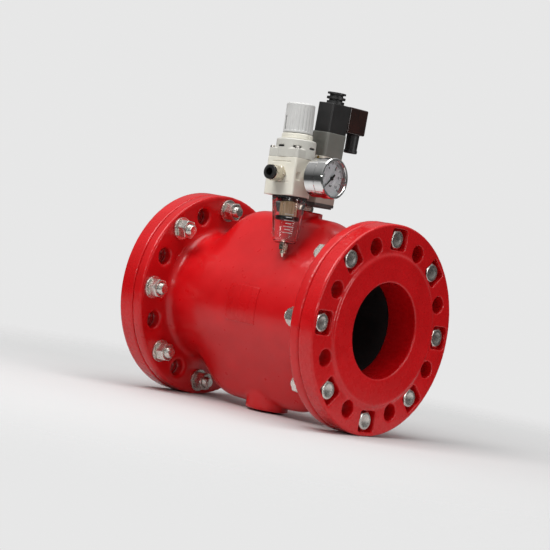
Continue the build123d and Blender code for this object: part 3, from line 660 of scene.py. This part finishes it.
def make_fasteners(materials):
    bolts, nuts, washers = bmesh.new(), bmesh.new(), bmesh.new()
    ring = rounded(washer_outline(), WASHER_EDGE)
    ring_rows = [(constant(r), constant(z)) for r, z in ring]
    for place in bolt_places():
        skin(bolts, bolt_rows(), place, HEX_STEPS)
        skin(nuts, nut_rows(), place, HEX_STEPS, closed=True)
        skin(washers, ring_rows, place, WASHER_STEPS, closed=True)
    steel = materials["stainless"]
    add_piece("hex_bolts", mesh_of(bolts, "hex_bolts", 30), steel, "valve", ["body_bolts"])
    add_piece("hex_nuts", mesh_of(nuts, "hex_nuts", 30), steel, "valve", ["body_nuts"])
    washer_mesh = mesh_of(washers, "plain_washers")
    add_piece("plain_washers", washer_mesh, steel, "valve", ["body_washers"])


# ---- castings ------------------------------------------------------------------------
PAD_X = (-21.0, 20.0)
PAD_Z = (-18.5, 20.5)
PAD_RISE = 0.5
FLANK_R = 68.0
PAD_STEPS = 40
PAD_ROOM = 2.5                       # how far past the pad the casting is drawn in
PAD_SINK = 0.05
PAD_ROOT = 1.0
PAD_BEVEL = 0.25
CASTING_VOXEL = 2.15
FLANGE_VOXEL = 1.15
CASTING_WAVE = 0.15


def clear_pad_room(mesh):
    """Draws the casting's near flank in to its plain radius, where the pad is laid on as its own piece."""
    plain = FLANK_R - PAD_SINK
    for vertex in mesh.vertices:
        x, y, z = vertex.co / MM
        across = math.hypot(y, z)
        beside = PAD_X[0] - PAD_ROOM < x < PAD_X[1] + PAD_ROOM
        level = PAD_Z[0] - PAD_ROOM < z < PAD_Z[1] + PAD_ROOM
        if beside and level and y < 0 and across > plain:
            vertex.co = Vector((x, y * plain / across, z * plain / across)) * MM


def make_castings(materials):
    casting = softened("valve_casing", "casing_casting", materials["red_cast"], CASTING_VOXEL, 3,
                       wave=CASTING_WAVE)
    clear_pad_room(casting.data)
    for side in ("inlet", "outlet"):
        softened(f"{side}_flange", f"{side}_flange_casting", materials["red_machined"],
                 FLANGE_VOXEL, 4)


def make_pad(materials):
    """Shallow raised pad that follows the near flank."""
    bm = bmesh.new()
    heights = [PAD_Z[0] + (PAD_Z[1] - PAD_Z[0]) * i / PAD_STEPS for i in range(PAD_STEPS + 1)]
    skins = []
    for radius in (FLANK_R - PAD_ROOT, FLANK_R + PAD_RISE):
        grid = []
        for x in PAD_X:
            row = [Vector((x, -math.sqrt(radius ** 2 - z ** 2), z)) * MM for z in heights]
            grid.append([bm.verts.new(point) for point in row])
        skins.append(grid)
    inner, outer = skins
    for i in range(PAD_STEPS):
        for grid in skins:
            bm.faces.new((grid[0][i], grid[1][i], grid[1][i + 1], grid[0][i + 1]))
        for side in (0, 1):
            bm.faces.new((inner[side][i], outer[side][i], outer[side][i + 1], inner[side][i + 1]))
    for i in (0, PAD_STEPS):
        bm.faces.new((inner[0][i], outer[0][i], outer[1][i], inner[1][i]))
    mesh = modified(mesh_of(bm, "flank_pad", 50), ("BEVEL", {"width": PAD_BEVEL * MM, "segments": 2}))
    shade(mesh, 35)
    add_piece("flank_pad", mesh, materials["red_machined"], "valve")


# ---- control column and filter regulator ---------------------------------------------
SOFT_ROUNDS = 2
# node, piece, finish, voxel in mm, share of its faces kept
COLUMN_PIECES = (
    ("base_plate", "mounting_plate", "dark_grey", 0.4, 0.4),
    # poppet block: cream body with painted shade
    ("poppet_housing", "poppet_block", "painted_shade_cream", 0.5, 0.4),
    ("cover_plate", "cream_cover", "cream", 0.4, 0.4),
    ("solenoid_adapter", "grey_adapter", "adapter", 0.4, 0.4),
    ("coil", "coil_body", "black", 0.4, 0.5),
    ("plug_connector", "plug_shell", "smoked", 0.4, 0.5),
)
REGULATOR_PIECES = (
    ("regulator_body", "regulator_housing", "cream", 0.45, 0.5),
    ("regulator_bonnet", "bonnet_shell", "warm_grey", 0.4, 0.5),
    ("panel_nut", "lock_ring", "cream", 0.3, 1.0),
    ("regulator_knob", "pressure_knob", "light_grey", 0.35, 0.6),
    ("inlet_fitting", "tube_socket", "nickel", 0.25, 0.6),
)


def make_housings(materials):
    for node, piece, finish, voxel, keep in COLUMN_PIECES + REGULATOR_PIECES:
        body = "knob" if piece == "pressure_knob" else "valve"
        softened(node, piece, materials[finish], voxel, SOFT_ROUNDS, body, keep)


# ---- painted shade in the knob slot and bonnet windows -------------------------------
KNOB_SLOT_TURN = math.radians(-112)
KNOB_SLOT_BOX = ((13.9, -0.42, 47.0), (15.32, 0.42, 62.0))
WINDOW_TURNS = (-8, 45, 98)
WINDOW_BOX = ((-3.9, -20.3, 28.7), (3.9, -19.6, 30.3))


def box_piece(bm, place, low, high):
    """Box between two corners, in place's millimetres."""
    corners = [bm.verts.new(place @ Vector((x, y, z))) for x in (low[0], high[0])
               for y in (low[1], high[1]) for z in (low[2], high[2])]
    for face in ((0, 1, 3, 2), (4, 6, 7, 5), (0, 4, 5, 1), (2, 3, 7, 6), (0, 2, 6, 4), (1, 5, 7, 3)):
        bm.faces.new([corners[i] for i in face])


def make_gap_shade(materials):
    """Black strips at the backs of the knob's slot and of the bonnet's windows: painted shade in those
    recesses.
    """
    slot = bmesh.new()
    # black box in the knob's slot: painted shade in the gap
    box_piece(slot, REGULATOR @ Matrix.Rotation(KNOB_SLOT_TURN, 4, "Z"), *KNOB_SLOT_BOX)
    add_piece("knob_slot_shade", mesh_of(slot, "knob_slot_shade"), materials["black"], "knob")
    windows = bmesh.new()
    # black bars at the bottoms of the bonnet's windows: painted shade in the pockets
    for turn in WINDOW_TURNS:
        place = REGULATOR @ Matrix.Rotation(math.radians(turn), 4, "Z")
        box_piece(windows, place, *WINDOW_BOX)
    window_shade_mesh = mesh_of(windows, "bonnet_window_shade")
    add_piece("bonnet_window_shade", window_shade_mesh, materials["black"], "valve")


# ---- gauge scale ---------------------------------------------------------------------
SCALE_START = 225.0                  # angle of the zero, anticlockwise from the dial's right, degrees
SCALE_SWEEP = 270.0
PRINT_LOW, PRINT_HIGH = DIAL_OUT + 0.05, DIAL_OUT + 0.32
ARC_DROP = 0.08
ARC_STEPS = 14
SCALE_R = 17.2
NUMERALS = 6
RED_ARC_OFF = (0.2, 1.2)             # how far its edges are outside the scale
RED_TICK_DEPTHS = (4.6, 3.4)
RED_TICK_WIDTH = 0.8
SCALE_MARKS = 50
MARKS_PER_MAJOR = 5
MAJOR_TICK = (3.2, 0.55)             # length and width
MINOR_TICK = (1.7, 0.28)
RED_ARC = (0.8, 1.0)                 # shares of the scale
RED_TICK = 0.6
NUMERAL_R = 11.4
NUMERAL_SIZE = 4.2
UNIT_SIZE = 3.4
UNIT_PLACE = (0, -7.5)


def bar(bm, place, corners, low, high):
    """Flat prism between two heights over an outline given in order."""
    under = [bm.verts.new(place @ Vector((x, y, low))) for x, y in corners]
    over = [bm.verts.new(place @ Vector((x, y, high))) for x, y in corners]
    bm.faces.new(under)
    bm.faces.new(over)
    for i in range(len(corners)):
        j = (i + 1) % len(corners)
        bm.faces.new((under[i], under[j], over[j], over[i]))


def tick(bm, angle, inner, outer, width):
    """Straight mark printed on the dial, pointing at its middle."""
    out = Vector((math.cos(angle), math.sin(angle)))
    side = Vector((-out.y, out.x)) * width / 2
    corners = (out * inner - side, out * outer - side, out * outer + side, out * inner + side)
    bar(bm, GAUGE, corners, PRINT_LOW, PRINT_HIGH)


def arc(bm, start, end, inner, outer):
    """Curved band printed on the dial."""
    angles = [start + (end - start) * i / ARC_STEPS for i in range(ARC_STEPS + 1)]
    corners = [(outer * math.cos(a), outer * math.sin(a)) for a in angles]
    corners += [(inner * math.cos(a), inner * math.sin(a)) for a in reversed(angles)]
    bar(bm, GAUGE, corners, PRINT_LOW, PRINT_HIGH - ARC_DROP)


def scale_angle(share):
    """Angle on the dial of a share of the full scale."""
    return math.radians(SCALE_START - SCALE_SWEEP * share)


def lettering(text, size, centre, depth):
    """Mesh of flat lettering centred on a point of the dial."""
    curve = bpy.data.curves.new("lettering", "FONT")
    curve.body = text
    curve.size = size
    curve.align_x = "CENTER"
    curve.align_y = "CENTER"
    curve.extrude = depth / 2
    curve.resolution_u = 3
    helper = bpy.data.objects.new("lettering", curve)
    scene.collection.objects.link(helper)
    mesh = bpy.data.meshes.new_from_object(helper.evaluated_get(bpy.context.evaluated_depsgraph_get()))
    bpy.data.objects.remove(helper)
    mesh.transform(GAUGE @ Matrix.Translation((centre[0], centre[1], (PRINT_LOW + PRINT_HIGH) / 2)))
    return mesh


def make_scale(materials):
    black, red = bmesh.new(), bmesh.new()
    depth = PRINT_HIGH - PRINT_LOW
    for i in range(SCALE_MARKS + 1):
        length, width = MAJOR_TICK if i % MARKS_PER_MAJOR == 0 else MINOR_TICK
        tick(black, scale_angle(i / SCALE_MARKS), SCALE_R - length, SCALE_R, width)
    start, end = (scale_angle(share) for share in RED_ARC)
    inner, outer = (SCALE_R + off for off in RED_ARC_OFF)
    arc(red, start, end, inner, outer)
    inner, outer = (SCALE_R - depth_in for depth_in in RED_TICK_DEPTHS)
    tick(red, scale_angle(RED_TICK), inner, outer, RED_TICK_WIDTH)
    for i in range(NUMERALS):
        angle = scale_angle(i / (NUMERALS - 1))
        place = (NUMERAL_R * math.cos(angle), NUMERAL_R * math.sin(angle))
        black.from_mesh(lettering(str(2 * i), NUMERAL_SIZE, place, depth))
    black.from_mesh(lettering("bar", UNIT_SIZE, UNIT_PLACE, depth))
    black_ink, red_ink = materials["print_black"], materials["print_red"]
    add_piece("dial_print", mesh_of(black, "dial_print"), black_ink, "valve")
    add_piece("dial_red_marks", mesh_of(red, "dial_red_marks"), red_ink, "valve")


# ---- bowl ----------------------------------------------------------------------------
BOWL_TOP, BOWL_LOW = -28.0, -65.6
BOWL_TOP_R, BOWL_LOW_R = 17.6, 13.6
RIB_COUNT = 8
RIB_WIDTH = 1.3
RIB_HEIGHTS = (-63.0, -30.0)
RIB_DEPTHS = (-0.4, 0.45)            # off the wall
RIB_BEVEL = 0.3
BAR_COUNT = 7
BAR_START = -60.2
BAR_SPACING = 3.2
BAR_THICKNESS = 0.7
BAR_TURN = math.radians(-42)
BAR_DEPTHS = (0.02, 0.2)
LONG_BAR = 9.5
SHORT_BAR = 6.0


def bowl_radius(height):
    """Outside radius of the tapered bowl at a height."""
    share = (height - BOWL_LOW) / (BOWL_TOP - BOWL_LOW)
    return BOWL_LOW_R + (BOWL_TOP_R - BOWL_LOW_R) * share


def wall_strip(bm, angle, width, z0, z1, low, high):
    """Strip lying on the bowl's outer wall from height z0 to z1, at that angle, low to high off it."""
    corners = []
    for z in (z0, z1):
        for off in (low, high):
            r = bowl_radius(z) + off
            for side in (-1, 1):
                turn = angle + side * width / 2 / r
                point = Vector((r * math.cos(turn), r * math.sin(turn), z))
                corners.append(bm.verts.new(REGULATOR @ point))
    a, b, c, d, e, f, g, h = corners
    for face in ((a, b, d, c), (e, g, h, f), (a, e, f, b), (c, d, h, g), (a, c, g, e), (b, f, h, d)):
        bm.faces.new(face)


def make_bowl(materials):
    ribs, bars = bmesh.new(), bmesh.new()
    for k in range(RIB_COUNT):
        wall_strip(ribs, 2 * math.pi * (k + 0.5) / RIB_COUNT, RIB_WIDTH, *RIB_HEIGHTS, *RIB_DEPTHS)
    for k in range(BAR_COUNT):
        height = BAR_START + BAR_SPACING * k
        width = LONG_BAR if k % 2 == 0 else SHORT_BAR
        wall_strip(bars, BAR_TURN, width, height, height + BAR_THICKNESS, *BAR_DEPTHS)
    rib_mesh = modified(mesh_of(ribs, "bowl_ribs"), ("BEVEL", {"width": RIB_BEVEL * MM, "segments": 2}))
    add_piece("bowl_ribs", rib_mesh, materials["bowl"], "valve")
    add_piece("bowl_graduations", mesh_of(bars, "bowl_graduations"), materials["print_white"], "valve")


materials = make_materials()
make_camera()
make_studio()
dress(materials)
make_fasteners(materials)
make_castings(materials)
make_pad(materials)
make_housings(materials)
make_gap_shade(materials)
make_scale(materials)
make_bowl(materials)
